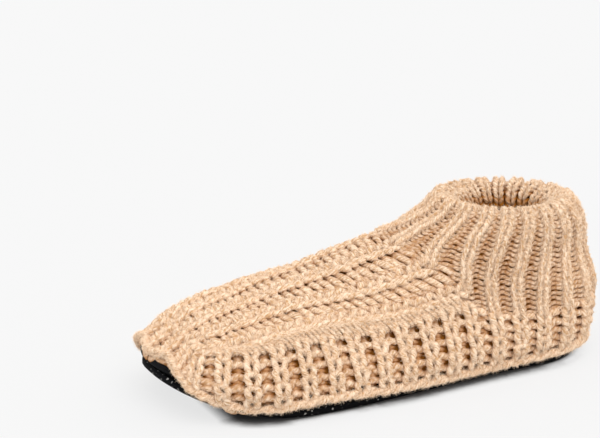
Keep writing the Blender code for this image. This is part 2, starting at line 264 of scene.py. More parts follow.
def shaft_angles(count):
    """Angles round the shaft from throat to back, spaced evenly along the ankle's ring."""
    _, half_length, half_width, _, _ = SHAFT_RINGS["ankle"]
    fine = np.linspace(THROAT_ANGLE, math.pi, OUTLINE_POINTS)
    pace = np.hypot(half_length * np.sin(fine), half_width * np.cos(fine))
    along = np.r_[0.0, np.cumsum((pace[1:] + pace[:-1]) / 2)]
    return np.interp(np.linspace(0.0, along[-1], count), along, fine)


def ring_point(ring, angle):
    """A point of a level ring: angle 0 is the front, and pi the back."""
    centre_x, half_length, half_width, height, tilt = ring
    cosine, sine = np.cos(angle), np.sin(angle)
    return np.stack([centre_x + half_length * cosine, half_width * sine, height + tilt * cosine], -1)


class UpperForm:
    """The smooth outer surface of one half of the upper, as grids of points.

    band:  rows from the lower edge up to the band's top, columns from the toe round to the heel
    shaft: rows from the band's top up to the crest, columns from the throat round to the back
    vamp:  rows from the toe up the foot and the shaft's front, columns from the middle to the edge
    hem:   rows from the crest down inside the shaft, columns from the front round to the back
    """

    def __init__(self):
        self.place = stations()
        self.levels = np.linspace(0.0, len(SHAFT_RINGS), LEVEL_STEPS + 1)
        self.lay_band_top()
        self.shaft = self.lay_shaft()
        self.vamp = self.lay_vamp()
        self.band = self.lay_band(np.linspace(0.0, 1.0, BAND_STEPS + 1))
        self.hem = self.lay_hem()

    def lay_band_top(self):
        """Lower edge, band top and wall direction at each column."""
        place = self.place
        column = np.arange(HEEL + 1)
        run = np.interp(column, [0, CORNER, THROAT, HEEL],
                        [place[name] for name in ("toe", "corner", "throat", "heel")])
        knots = [place[name] for name in BAND_TOP]
        inset, height, slope = (smooth_table(knots, values, run) for values in zip(*BAND_TOP.values()))
        slope = np.radians(slope)[:, None]
        x, y = edge_point(run)
        self.run = run
        self.out = edge_outward(run)
        self.edge = np.stack([x, y, SOLE_THICKNESS + GAP + lift(x)], -1)
        self.top = np.stack([x, y, height], -1) - self.out * inset[:, None]
        self.rise = UP * np.sin(slope) - self.out * np.cos(slope)
        self.slope = slope[:, 0]

    def lay_shaft(self):
        """Each column behind the throat, from the band's top by ankle and shoulder to the crest."""
        grid = []
        for column, angle in enumerate(shaft_angles(HEEL - THROAT + 1), THROAT):
            stops = [self.top[column]] + [ring_point(ring, angle) for ring in SHAFT_RINGS.values()]
            inward = np.array([-math.cos(angle), -math.sin(angle), 0.0])
            grid.append(smooth_path(stops, self.levels, self.rise[column], inward))
        return np.stack(grid, 1)

    def lay_vamp(self):
        """Arched rows from edge to edge: along the band's top first, then up the shaft's front."""
        place = self.place
        middle = [self.top[0]] + [np.array([x, 0.0, z]) for x, z in VAMP_MIDDLE.values()]
        middle += [ring_point(ring, 0.0) for ring in SHAFT_RINGS.values()]
        knots = [place[name] for name in ("corner", "ball", "waist", "throat")]
        front_rows = np.interp(self.run[CORNER:THROAT + 1], knots, np.arange(len(knots)))
        rows = np.r_[front_rows, len(VAMP_MIDDLE) + self.levels[1:]]
        crown = smooth_path(middle, rows, self.rise[0], np.array([-1.0, 0.0, 0.0]))
        side = np.concatenate([self.top[CORNER:THROAT + 1], self.shaft[1:, 0]])
        base = side * np.array([1.0, 0.0, 1.0])
        arch = crown - base
        steep = np.tan(self.slope[CORNER:THROAT + 1])
        flat = steep * side[:len(steep), 1] / np.maximum(arch[:len(steep), 2], LOWEST_ARCH) - 1.0
        bend = np.clip(1.0 / np.maximum(flat, 1.0), math.cos(ROUNDEST_ARCH), math.cos(FLATTEST_ARCH))
        share = ease(np.linspace(-1.0, 1.0, len(steep)))
        bend = bend * (1.0 - share) + math.cos(THROAT_ANGLE) * share
        bend = np.r_[bend, np.full(len(rows) - len(steep), math.cos(THROAT_ANGLE))]
        reach = np.arccos(bend)[:, None]
        angle = reach * np.linspace(0.0, 1.0, CORNER + 1)
        upward = (np.cos(angle) - bend[:, None]) / (1.0 - bend[:, None])
        sideways = side[:, 1:2] * np.sin(angle) / np.sin(reach)
        return base[:, None] + arch[:, None] * upward[..., None] + ACROSS * sideways[..., None]

    def lay_band(self, rows):
        """Each column of the side band, swelling out from the lower edge and up to its top."""
        top = self.top.copy()
        top[:CORNER + 1] = self.vamp[0]
        self.top = top
        chord = np.linalg.norm(top - self.edge, axis=1)[:, None]
        tuck = math.radians(TUCK_ANGLE)
        leave = (self.out * math.cos(tuck) + UP * math.sin(tuck)) * (chord + TUCK)
        arrive = self.rise * (chord + TOP_TUCK)
        return np.stack([cubic(self.edge, leave, top, arrive, t) for t in rows])

    def lay_hem(self):
        """The inner leaf: each column turned in over the crest and hung down inside."""
        crest = np.concatenate([self.vamp[-1, :CORNER], self.shaft[-1]])
        angles = np.arctan2(crest[:, 1] / HEM_RINGS["crest"][2],
                            (crest[:, 0] - HEM_RINGS["crest"][0]) / HEM_RINGS["crest"][1])
        levels = np.linspace(0.0, len(HEM_RINGS) - 1, HEM_STEPS + 1)
        grid = []
        for start, angle in zip(crest, angles):
            stops = [start] + [ring_point(ring, angle) for ring in list(HEM_RINGS.values())[1:]]
            inward = np.array([-math.cos(angle), -math.sin(angle), 0.0])
            grid.append(smooth_path(stops, levels, inward, -UP))
        return np.stack(grid, 1)


# Charts: a surface read by rib and course

Strand = namedtuple("Strand", "path out height radius")

# Taken off a grid's size, so that its last point is read inside its last cell
LAST_CELL = 1.001

# Whole rib numbers are ridges, so the recess in the middle of the toe and of the vamp has this number
MIDDLE_RIB = 0.5


class Surface:
    """A grid of points that is read between them by column and row, at a height straight off it."""

    def __init__(self, points, closed):
        self.points = points
        self.closed = closed
        self.normals = self.outward()

    def outward(self):
        """Direction straight out from each point."""
        points = self.points
        if self.closed:
            points = np.concatenate([points[:, -1:], points, points[:, :1]], 1)
        normals = np.cross(np.gradient(points, axis=1), np.gradient(points, axis=0))
        normals /= np.maximum(np.linalg.norm(normals, axis=-1, keepdims=True), 1e-9)
        return normals[:, 1:-1] if self.closed else normals

    def read(self, grid, columns, rows):
        """A grid's value between its points."""
        last_row, last_column = grid.shape[0] - LAST_CELL, grid.shape[1] - LAST_CELL
        rows = np.clip(rows, 0.0, last_row)
        if not self.closed:
            columns = np.clip(columns, 0.0, last_column)
        low, left = np.floor(rows).astype(int), np.floor(columns).astype(int)
        up, over = rows - low, columns - left
        if grid.ndim == 3:
            up, over = up[..., None], over[..., None]
        right = (left + 1) % grid.shape[1]
        left = left % grid.shape[1]
        bottom = grid[low, left] * (1 - over) + grid[low, right] * over
        top = grid[low + 1, left] * (1 - over) + grid[low + 1, right] * over
        return bottom * (1 - up) + top * up

    def strand(self, columns, rows, height, radius):
        """Yarn that follows a line at a height off the surface."""
        out = self.read(self.normals, columns, rows)
        path = self.read(self.points, columns, rows) + out * height[:, None]
        return Strand(path, out, height, np.broadcast_to(radius, len(path)))


class Chart(Surface):
    """A surface on both sides of the sock, whose places are given by rib and course.

    Whole rib numbers are ridges, and half ones the recesses between them.
    """

    def __init__(self, half, first_course, closed):
        other = half[:, 1:] * MIRROR
        points = np.concatenate([other[:, ::-1], half], 1)
        self.middle = half.shape[1] - 1
        if closed:
            points = points[:, 1:]
            self.middle -= 1
        self.first_course = first_course
        self.ribs = points.shape[1] / COLUMNS_PER_RIB
        super().__init__(points, closed)
        self.pitches = np.linalg.norm(np.gradient(points, axis=1), axis=-1) * COLUMNS_PER_RIB

    def columns(self, ribs):
        """Column numbers of ribs."""
        return (ribs - MIDDLE_RIB) * COLUMNS_PER_RIB + self.middle

    def rows(self, courses):
        """Row numbers of courses."""
        return (courses - self.first_course) * ROWS_PER_COURSE

    def pitch(self, ribs, courses):
        """Width of one rib."""
        return self.read(self.pitches, self.columns(ribs), self.rows(courses))

    def stitches(self, ribs, courses, height, radius):
        """Yarn that follows a line given by rib and course."""
        return self.strand(self.columns(ribs), self.rows(courses), height, radius)


# Courses of each part of the knit, and the places where one part gives way to the next
BAND_COURSES = 5
VAMP_COURSES = 26
SHAFT_COURSES = 23
SHAFT_COURSE_HEIGHT = 2.45
HEM_COURSES = 9
ROWS_PER_COURSE = 8
CHART_MARGIN = 2
VAMP_MARGIN = 4
VAMP_OVERLAP_RIBS = 0.75
FRONT_ROWS = THROAT - CORNER + 1
STRIP_STEPS = 16

# Depth of the picked-up stitches below the band's top, by ribs from the vamp's corner
PICKED_UP = {
    #        ribs  depth
    "corner": (0.0, -0.8),
    "ball":   (3.0, 4.5),
    "waist":  (8.0, 6.0),
    "throat": (11.0, 9.5),
}

# About how far the bound-off edge lies above the sole's top, by the distance from the toe
EDGE_RISE = {
    #           run   rise
    "toe":     (0.0, 10.4),
    "tip":     (15.0, 14.4),
    "turn":    (25.0, 9.6),
    "corner":  (35.0, 4.4),
    "bend":    (52.0, 0.0),
    "joint":   (66.0, 2.6),
    "ball":    (88.0, 7.5),
    "side":    (114.0, 6.9),
    "waist":   (145.0, 4.2),
    "throat":  (185.0, 3.5),
    "quarter": (215.0, 6.0),
    "heel":    (250.0, 8.5),
    "back":    (281.0, 7.0),
}
LOWEST_DROOP = 8.0
FIRST_COURSE_DROP = 4.0
EDGE_COURSE = 0.62

# Share of the width between the band's tops that the vamp's ribs take, by row from toe to throat
VAMP_SHARE = {
    #         row   share
    "toe":    (0, 0.92),
    "middle": (48, 0.87),
    "edge":   (82, 0.99),
    "throat": (88, 1.0),
}

# Height above the throat at which the vamp's front gives way to the shaft, by ribs from the middle
SHAFT_START = {
    #         ribs height
    "middle": (0.0, 6.0),
    "side":   (1.9, 3.0),
    "ridge":  (2.5, -6.0),
}


def table(rows, where):
    """Read a short two-column table smoothly."""
    knots, values = zip(*rows.values())
    return smooth_table(knots, values, np.clip(where, knots[0], knots[-1]))


def chart_courses(low, high):
    """Course numbers of a chart's rows."""
    return np.arange(low * ROWS_PER_COURSE, high * ROWS_PER_COURSE + 1) / ROWS_PER_COURSE


def between_columns(grid, columns):
    """Columns of a grid at fractional numbers."""
    left = np.floor(np.clip(columns, 0.0, grid.shape[1] - LAST_CELL)).astype(int)
    over = (columns - left)[:, None]
    return grid[:, left] * (1 - over) + grid[:, left + 1] * over


def picked_up_depth(form):
    """Depth below the band's top, at each column, at which its own courses end."""
    column = np.arange(HEEL + 1)
    side = table(PICKED_UP, (column - CORNER) / COLUMNS_PER_RIB)
    shaft_lengths = np.array([lengths(form.shaft[:, step])[-1] for step in range(HEEL - THROAT + 1)])
    behind = SHAFT_COURSES * SHAFT_COURSE_HEIGHT - shaft_lengths[np.maximum(column - THROAT, 0)]
    blend = ease((column - THROAT + COLUMNS_PER_RIB) / (2 * COLUMNS_PER_RIB))
    return side * (1 - blend) + behind * blend


def band_chart(form):
    """The side band all round, carried on above its last course."""
    courses = chart_courses(-1, BAND_COURSES + CHART_MARGIN)
    depth = picked_up_depth(form)
    start_at = LOWEST_DROOP - FIRST_COURSE_DROP + table(EDGE_RISE, form.run)
    columns = []
    for column in range(HEEL + 1):
        line = np.concatenate([[form.edge[column] - UP * LOWEST_DROOP], form.band[:, column]])
        start = start_at[column]
        worked = lengths(line)[-1] - depth[column] - start
        if column <= CORNER:
            above = form.vamp[1:FRONT_ROWS // 4, column]
        elif column >= THROAT:
            above = form.shaft[1:LEVEL_STEPS // 2, column - THROAT]
        else:
            above = form.vamp[column - CORNER, ::-1][1:CORNER // 2]
        line = np.concatenate([line, above])
        columns.append(read_line(line, lengths(line), start + courses * worked / BAND_COURSES))
    return Chart(np.stack(columns, 1), courses[0], closed=True)


def vamp_chart(form):
    """The vamp from the toe to a little above the throat, carried on past its edges and down the toe."""
    courses = chart_courses(-CHART_MARGIN, VAMP_COURSES + VAMP_MARGIN)
    rows_per_course = (FRONT_ROWS - 1) / VAMP_COURSES
    column_count = CORNER + round(VAMP_OVERLAP_RIBS * COLUMNS_PER_RIB) + 1
    steps = np.arange(column_count) / CORNER
    grid = []
    for row in range(FRONT_ROWS + LEVEL_STEPS // 2):
        across = form.vamp[row]
        if row < FRONT_ROWS:
            beyond = form.band[::-1, CORNER + row][1:]
        else:
            beyond = form.shaft[row - FRONT_ROWS + 1, 1:]
        line = np.concatenate([across, beyond])
        width = lengths(across)[-1] * table(VAMP_SHARE, row)
        grid.append(read_line(line, lengths(line), steps * width))
    grid = np.stack(grid)
    toe = between_columns(form.band[::-1], steps * CORNER * table(VAMP_SHARE, 0))[1:]
    columns = []
    for step in range(column_count):
        front = grid[:FRONT_ROWS, step]
        row_height = lengths(front)[-1] / (FRONT_ROWS - 1)
        upward = FRONT_ROWS - 1 + lengths(grid[FRONT_ROWS - 1:, step])[1:] / row_height
        downward = -lengths(np.concatenate([front[:1], toe[:, step]]))[1:] / row_height
        line = np.concatenate([toe[::-1, step], grid[:, step]])
        knots = np.r_[downward[::-1], np.arange(FRONT_ROWS), upward]
        columns.append(read_line(line, knots, courses * rows_per_course))
    return Chart(np.stack(columns, 1), courses[0], closed=False)


def even_front(form):
    """The vamp's grid with its columns spaced evenly across it, except towards the crest."""
    column = np.arange(CORNER + 1)
    rows = []
    for row, across in enumerate(form.vamp):
        along = lengths(across)
        share = ease((row - FRONT_ROWS) / LEVEL_STEPS)
        where = along * share + along[-1] * column / CORNER * (1 - share)
        rows.append(read_line(across, along, where))
    return np.stack(rows)


def shaft_chart(form):
    """The shaft all round, over the crest and down inside, and each column's lowest course."""
    courses = chart_courses(-CHART_MARGIN, SHAFT_COURSES + HEM_COURSES + 1)
    front = even_front(form)
    columns = []
    lowest = []
    for step in range(CORNER + HEEL - THROAT + 1):
        if step <= CORNER:
            below = front[:FRONT_ROWS - 1, step]
            outer = front[FRONT_ROWS - 1:, step]
            start = table(SHAFT_START, step / COLUMNS_PER_RIB)
        else:
            column = THROAT + step - CORNER
            below = form.band[:-1, column]
            outer = form.shaft[:, column - THROAT]
            start = -np.inf
        line = np.concatenate([below, outer, form.hem[1:, step]])
        along = lengths(line)
        crest = along[len(below) + len(outer) - 1]
        knots = crest + (courses - SHAFT_COURSES) * SHAFT_COURSE_HEIGHT
        inside = courses > SHAFT_COURSES
        knots[inside] = crest + (courses[inside] - SHAFT_COURSES) * (along[-1] - crest) / HEM_COURSES
        columns.append(read_line(line, along, knots))
        lowest.append(SHAFT_COURSES - (crest - along[len(below)] - start) / SHAFT_COURSE_HEIGHT)
    return Chart(np.stack(columns, 1), courses[0], closed=True), np.maximum(lowest, 0.0)


def pick_up_strip(form):
    """The narrow surface along one side, from the band's last course up to the vamp's edge ridge."""
    depth = picked_up_depth(form)
    columns = []
    for row in range(FRONT_ROWS):
        band = form.band[:, CORNER + row]
        across = form.vamp[row, ::-1]
        line = np.concatenate([band, across[1:]])
        top = lengths(band)[-1]
        ridge = top + lengths(across)[-1] * (1 - table(VAMP_SHARE, row))
        columns.append(read_line(line, lengths(line),
                                 np.linspace(top - depth[CORNER + row], ridge, STRIP_STEPS + 1)))
    return Surface(np.stack(columns, 1), closed=False)


# Yarn

# How the loops lie in one part of the knit, with lengths in millimetres:
# radius of the yarn, and the share by which it swells on a ridge and thins in a recess;
# rise of a loop on a ridge, and of a rung in a recess, in courses; lean of the legs, in ribs;
# width and height of a ridge, and the dip in the middle of each of its loops;
# depth of a recess, and the bump of each of its rungs; tuck of the yarn between the two;
# sink of the whole course; skew of the loops, in courses.
Gauge = namedtuple("Gauge", "radius swell rise rung lean width ridge dip recess bump tuck sink skew")
YARN_SIDES = 8
RIB_SAMPLES = 32
SHAFT_SAMPLES = 24
WIDEST_RIDGE = 0.88
NARROWEST_RIDGE = 0.40
END_DIVE = 2.5
NEARLY_UPRIGHT = 0.9

# How much a stitch's lean, place, rise, height and thickness differ from its neighbour's
STITCH_VARIES = (0.35, 0.026, 0.12, 0.4, 0.12)

# Second strands behind a course: courses above it, depth in millimetres, and share of its yarn's thickness
Behind = namedtuple("Behind", "above depth thickness")
VAMP_BEHIND = Behind(0.5, 1.1, 1.0)
BAND_BEHIND = Behind(0.1, 1.7, 0.75)
BEHIND_SAMPLES = 16
BEHIND_RIDGE = 2.0
BEHIND_SKEW = 1.3
BEHIND_SKEW_VARIES = 0.3

# Stitches picked up along the vamp: their rows, as shares of the strip's height, and their shape
PICK_UP_ROWS = ((0.34, 0.74), (-0.10, 0.40))
PICK_UP_YARN = 0.8
PICK_UP_PITCH = 2.7
PICK_UP_SLANT = 2.0
PICK_UP_THICKNESS = 1.6
PICK_UP_SINK = 1.0
PICK_UP_SAMPLES = 14
PICK_UP_DIVE = 3
PICK_UP_VARIES = (0.15, 0.05, 0.15)

# Slow waves that keep two ribs or two courses from running alike
WANDER = (
    # round up   start
    (5, 0.55, 0.3),
    (11, -0.40, 1.7),
    (17, 0.90, 4.0),
)
WANDER_SIDEWAYS = 0.008
WANDER_UPWARD = 0.05


def wander(chart, ribs, course):
    """A slow drift of the stitches, which closes where the chart does."""
    turn = 2 * math.pi * ribs / chart.ribs
    return sum(np.sin(around * turn + up * course + start) for around, up, start in WANDER)


def middle_ribs(reach):
    """First and last rib of a course that reaches as far to both sides of the middle."""
    return MIDDLE_RIB - reach, MIDDLE_RIB + reach


def rib_places(chart, course, ribs, gauge, samples, closed):
    """Rib numbers along a course, and where they lie once its ridges have their width."""
    start, stop = ribs
    turn = start + np.arange(round((stop - start) * samples) + (0 if closed else 1)) / samples
    share = np.clip(gauge.width / chart.pitch(turn, np.full(len(turn), course)),
                    NARROWEST_RIDGE, WIDEST_RIDGE)
    place = turn + (share - 0.5) / 2 * np.sin(2 * math.pi * turn)
    return turn, place + WANDER_SIDEWAYS * wander(chart, turn, course)


def rib_course(chart, course, ribs, gauge, rng, samples, dive=0.0):
    """One course of rib as a strand of yarn, closed round the sock unless its ends dive.

    Each stitch is a loop: its head is up, its legs lean in, and its feet join the next stitch. A ridge
    shows the legs of its stitches, and a recess the heads. The strand's height leaves out the dive.
    """
    start, stop = ribs
    closed = dive == 0.0
    turn, place = rib_places(chart, course, ribs, gauge, samples, closed)
    angle = 4 * math.pi * turn
    wale = np.floor(2 * turn + 0.5).astype(int)
    share = 2 * turn + 0.5 - wale
    wale -= wale[0]
    vary = rng.uniform(-1.0, 1.0, (wale.max() + 1, len(STITCH_VARIES)))
    if closed:
        vary[-1] = vary[0]
    vary = np.sin(math.pi * share)[:, None] * vary[wale] * STITCH_VARIES
    leaning, sideways, upward, outward, thicker = vary.T
    place = place + gauge.lean * (1 + leaning) * np.sin(2 * angle) + sideways
    side = np.cos(angle / 2)
    reach = gauge.rise * (1 + side) / 2 + gauge.rung * (1 - side) / 2
    rise = (course + reach * np.cos(angle) * (1 + upward) - gauge.skew * np.sin(2 * math.pi * turn)
            + WANDER_UPWARD * wander(chart, turn + course, 0.0))
    front, back = np.maximum(side, 0.0), np.maximum(-side, 0.0)
    height = (front * (gauge.ridge - gauge.dip * np.cos(2 * angle))
              - back * (gauge.recess - gauge.bump * np.cos(2 * angle))
              - gauge.tuck * np.sin(angle / 2) ** 4 - gauge.sink + outward)
    inward = np.ones(len(turn)) if closed else ease(np.minimum(turn - start, stop - turn) / dive)
    strand = chart.stitches(place, rise, height - END_DIVE * (1 - inward),
                            gauge.radius * (1 + gauge.swell * side + thicker))
    return strand._replace(height=height * inward)


def second_strand(chart, course, ribs, gauge, rng, behind, closed):
    """A strand that shows across the recesses of a course and hides behind its ridges."""
    start, stop = ribs
    turn, place = rib_places(chart, course, ribs, gauge, BEHIND_SAMPLES, closed)
    vary = rng.uniform(-1.0, 1.0, (math.ceil(stop - start) + 2, 2))[np.floor(turn - start).astype(int), 0]
    skew = gauge.skew * (BEHIND_SKEW + BEHIND_SKEW_VARIES * vary)
    rise = course + behind.above + skew * np.sin(2 * math.pi * turn)
    front = (1 + np.cos(2 * math.pi * turn)) / 2
    height = -gauge.sink - behind.depth - BEHIND_RIDGE * front
    return chart.stitches(place, rise, height, gauge.radius * behind.thickness)


def picked_up_row(strip, low, high, radius, rng):
    """One row of picked-up stitches: a strand that goes slantwise down in front and back up behind."""
    columns = strip.points.shape[1] - 1
    width = np.mean(np.linalg.norm(np.diff(strip.points[STRIP_STEPS // 2], axis=0), axis=1))
    stitches = round(columns * width / PICK_UP_PITCH)
    turn = np.arange(stitches * PICK_UP_SAMPLES + 1) / PICK_UP_SAMPLES
    vary = rng.uniform(-1.0, 1.0, (stitches + 1, len(PICK_UP_VARIES)))[np.floor(turn).astype(int)]
    sideways, upward, outward = (vary * np.sin(math.pi * (turn % 1.0))[:, None] * PICK_UP_VARIES).T
    angle = 2 * math.pi * turn
    down = (1 - np.cos(angle)) / 2
    column = columns * turn / stitches + PICK_UP_SLANT / width * (down + sideways)
    row = (high - (high - low) * down + upward) * STRIP_STEPS
    height = PICK_UP_THICKNESS * np.sin(angle) - PICK_UP_SINK + outward
    height -= END_DIVE * (1 - ease(np.minimum(turn, stitches - turn) / PICK_UP_DIVE))
    return strip.strand(column, row, height, radius)


def tube(path, radius, closed):
    """Rings of points round a line, carried along it without a twist."""
    ahead = np.roll(path, -1, 0) - path
    behind = path - np.roll(path, 1, 0)
    if not closed:
        ahead[-1], behind[0] = behind[-1], ahead[0]
    tangent = unit(ahead + behind)
    normal = np.zeros_like(path)
    normal[0] = unit(np.cross(tangent[0], UP if abs(tangent[0, 2]) < NEARLY_UPRIGHT else ACROSS))
    for i in range(1, len(path)):
        carried = normal[i - 1] - tangent[i] * (normal[i - 1] @ tangent[i])
        normal[i] = carried / math.sqrt(carried @ carried)
    cross = np.cross(tangent, normal)
    if closed:
        carried = normal[-1] - tangent[0] * (normal[-1] @ tangent[0])
        slip = math.atan2(carried @ cross[0], carried @ normal[0])
        fix = -slip * np.arange(len(path)) / len(path)
        normal, cross = (normal * np.cos(fix)[:, None] + cross * np.sin(fix)[:, None],
                         cross * np.cos(fix)[:, None] - normal * np.sin(fix)[:, None])
    around = 2 * math.pi * np.arange(YARN_SIDES) / YARN_SIDES
    spokes = normal[:, None] * np.cos(around)[:, None] + cross[:, None] * np.sin(around)[:, None]
    return path[:, None] + radius[:, None, None] * spokes


class YarnMesh:
    """Tubes of yarn gathered into one mesh, with the yarn's own coordinates: along it, and round it."""

    def __init__(self):
        self.points = []
        self.quads = []
        self.coords = []
        self.depths = []
        self.caps = []
        self.count = 0

    def add(self, strand, closed):
        """Add one strand."""
        path = strand.path
        steps = len(path)
        rings = tube(path, strand.radius, closed)
        outward = np.sum((rings - path[:, None]) * strand.out[:, None], -1)
        along = np.r_[lengths(path), 0.0]
        along[steps] = along[steps - 1] + np.linalg.norm(path[0] - path[-1])
        ring, spoke = np.meshgrid(np.arange(steps if closed else steps - 1), np.arange(YARN_SIDES),
                                  indexing="ij")
        quads, coords = [], []
        for on, over in ((0, 0), (0, 1), (1, 1), (1, 0)):
            quads.append((ring + on) % steps * YARN_SIDES + (spoke + over) % YARN_SIDES)
            coords.append(np.stack([along[ring + on], (spoke + over) / YARN_SIDES], -1))
        self.points.append(rings.reshape(-1, 3))
        self.quads.append(np.stack(quads, -1).reshape(-1, 4) + self.count)
        self.coords.append(np.stack(coords, -2).reshape(-1, 2))
        self.depths.append((outward + strand.height[:, None]).ravel())
        if not closed:
            cap = np.arange(YARN_SIDES) + self.count
            self.caps += [cap[::-1], cap + (steps - 1) * YARN_SIDES]
        self.count += steps * YARN_SIDES

    def build(self, name, finish):
        """The gathered strands as one object."""
        unwound = np.zeros((sum(len(cap) for cap in self.caps), 2))
        return mesh_object(name, np.concatenate(self.points), np.concatenate(self.quads), finish,
                           coords=np.concatenate([*self.coords, unwound]),
                           depths=np.concatenate(self.depths), more_faces=self.caps)


def mesh_object(name, points, faces, finish, coords=None, depths=None, more_faces=()):
    """An object from arrays: points in millimetres, faces of one size, and further faces of any size."""
    mesh = bpy.data.meshes.new(name)
    corners = np.concatenate([faces.ravel(), *more_faces]).astype(np.int32)
    sizes = np.r_[np.full(len(faces), faces.shape[1]), [len(face) for face in more_faces]].astype(np.int32)
    mesh.vertices.add(len(points))
    mesh.vertices.foreach_set("co", (points * MM).astype(np.float32).ravel())
    mesh.loops.add(len(corners))
    mesh.loops.foreach_set("vertex_index", corners)
    mesh.polygons.add(len(sizes))
    mesh.polygons.foreach_set("loop_start", np.r_[0, np.cumsum(sizes)[:-1]].astype(np.int32))
    if coords is not None:
        layer = mesh.uv_layers.new(name="yarn")
        layer.uv.foreach_set("vector", coords.astype(np.float32).ravel())
    if depths is not None:
        layer = mesh.attributes.new("depth", "FLOAT", "POINT")
        layer.data.foreach_set("value", depths.astype(np.float32))
    mesh.update(calc_edges=True)
    mesh.validate()
    mesh.materials.append(finish)
    mesh.shade_smooth()
    piece = bpy.data.objects.new(name, mesh)
    bpy.context.scene.collection.objects.link(piece)
    return piece


def settle(piece, slot, *nodes):
    """Join a finished piece to the sock: its body, and any solid it stands for, which is hidden. The slot is
    not used.
    """
    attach(piece, "root")
    if nodes:
        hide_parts(*nodes)


# Shader nodes

class Value:
    """A socket that takes part in sums: each operator adds a Math node."""

    def __init__(self, paint, socket):
        self.paint = paint
        self.socket = socket

    def math(self, operation, *others):
        """A Math node with this value first."""
        return self.paint.node("ShaderNodeMath", {"operation": operation}, dict(enumerate((self, *others))))

    def clipped(self):
        """The value kept from 0 to 1."""
        return self.math("MAXIMUM", 0.0).math("MINIMUM", 1.0)

    def __add__(self, other):
        return self.math("ADD", other)

    def __sub__(self, other):
        return self.math("SUBTRACT", other)

    def __mul__(self, other):
        return self.math("MULTIPLY", other)

    def __truediv__(self, other):
        return self.math("DIVIDE", other)

    def __rsub__(self, other):
        return self.math("MULTIPLY", -1.0).math("ADD", other)

    __radd__ = __add__
    __rmul__ = __mul__


class Paint:
    """One material and its nodes."""

    def __init__(self, name, **constants):
        self.material = bpy.data.materials.new(name)
        self.material.use_nodes = True
        self.nodes = self.material.node_tree.nodes
        self.links = self.material.node_tree.links
        self.shader = self.nodes["Principled BSDF"]
        for socket, value in constants.items():
            self.shader.inputs[socket.replace("_", " ")].default_value = value

    def node(self, kind, settings, sockets, output=0):
        """Any node: its settings first, then the values or links of its sockets."""
        node = self.nodes.new(kind)
        for name, value in settings.items():
            if name == "stops":
                self.set_stops(node.color_ramp, value)
            else:
                setattr(node, name, value)
        for name, value in sockets.items():
            if isinstance(value, Value):
                self.links.new(value.socket, node.inputs[name])
            else:
                node.inputs[name].default_value = value
        return Value(self, node.outputs[output])

    @staticmethod
    def set_stops(ramp, stops):
        """Give a ramp its colours."""
        while len(ramp.elements) < len(stops):
            ramp.elements.new(1.0)
        for element, (position, colour) in zip(ramp.elements, stops):
            element.position = position
            element.color = (*colour, 1.0)

    def coordinates(self, output):
        """Object or UV coordinates."""
        return self.node("ShaderNodeTexCoord", {}, {}, output)

    def depth(self):
        """How far the surface stands above the knit's form, in millimetres, less any painted shade."""
        return self.node("ShaderNodeAttribute", {"attribute_name": "depth"}, {}, "Fac")

    def noise(self, vector, scale, detail, roughness, contrast=1.0):
        """Cloudy values about a half, spread by the contrast."""
        value = self.node("ShaderNodeTexNoise", {}, {"Vector": vector, "Scale": scale, "Detail": detail,
                                                     "Roughness": roughness})
        return value if contrast == 1.0 else value * contrast - (contrast - 1.0) / 2

    def axis(self, vector, name):
        """One number of a vector."""
        return self.node("ShaderNodeSeparateXYZ", {}, {"Vector": vector}, "XYZ".index(name))

    def ramp(self, value, stops):
        """A colour for each value."""
        return self.node("ShaderNodeValToRGB", {"stops": stops}, {"Fac": value})

    def mix(self, share, first, second):
        """Two colours mixed."""
        return self.node("ShaderNodeMix", {"data_type": "RGBA"}, {0: share, 6: first, 7: second}, 2)

    def bump(self, height, strength, distance):
        """Fine relief in metres."""
        return self.node("ShaderNodeBump", {}, {"Height": height, "Strength": strength, "Distance": distance})

    def feed(self, socket, value):
        """Link a value to the shader."""
        self.links.new(value.socket, self.shader.inputs[socket])


# Finishes

BLACK = (0.0, 0.0, 0.0)
WHITE = (1.0, 1.0, 1.0)

# Yarn: its twist, how much each pattern shows in its tone and its relief, and where its tones lie
PLY_LENGTH = 7.0
PLIES = 3
PLY_TONE, FIBRE_TONE, CLOUD_TONE = 0.08, 0.7, 0.5
PLY_RELIEF, FIBRE_RELIEF = 0.12, 0.9
FIBRES_ALONG, FIBRES_AROUND = 0.35, 8.0
YARN_CLOUDS = 650.0
SHADE_TONE, LIGHT_TONE = 0.37, 0.89

# Depths at which painted shade begins to turn the yarn browner, turns it all brown, and makes it almost dark,
# and the share of the brown left there
HIGHEST, DEEPEST, LOST = -0.5, -3.1, -8.0
LOST_SHARE = 0.25

# Backing and felt: sizes of their grain, and the stops between their two tones
# Depth of painted shade at which the backing is all the sole's black
BACKING_FADE = 5.0
BACKING_GRAIN = 400.0
FELT_GRAIN = 900.0
FELT_SPECKS = 700.0
GRAIN_LOW, GRAIN_HIGH = 0.3, 0.7
SPECK_LOW, SPECK_HIGH = 0.68, 0.72


def darker(colour, share):
    """A share of a colour."""
    return tuple(part * share for part in colour)


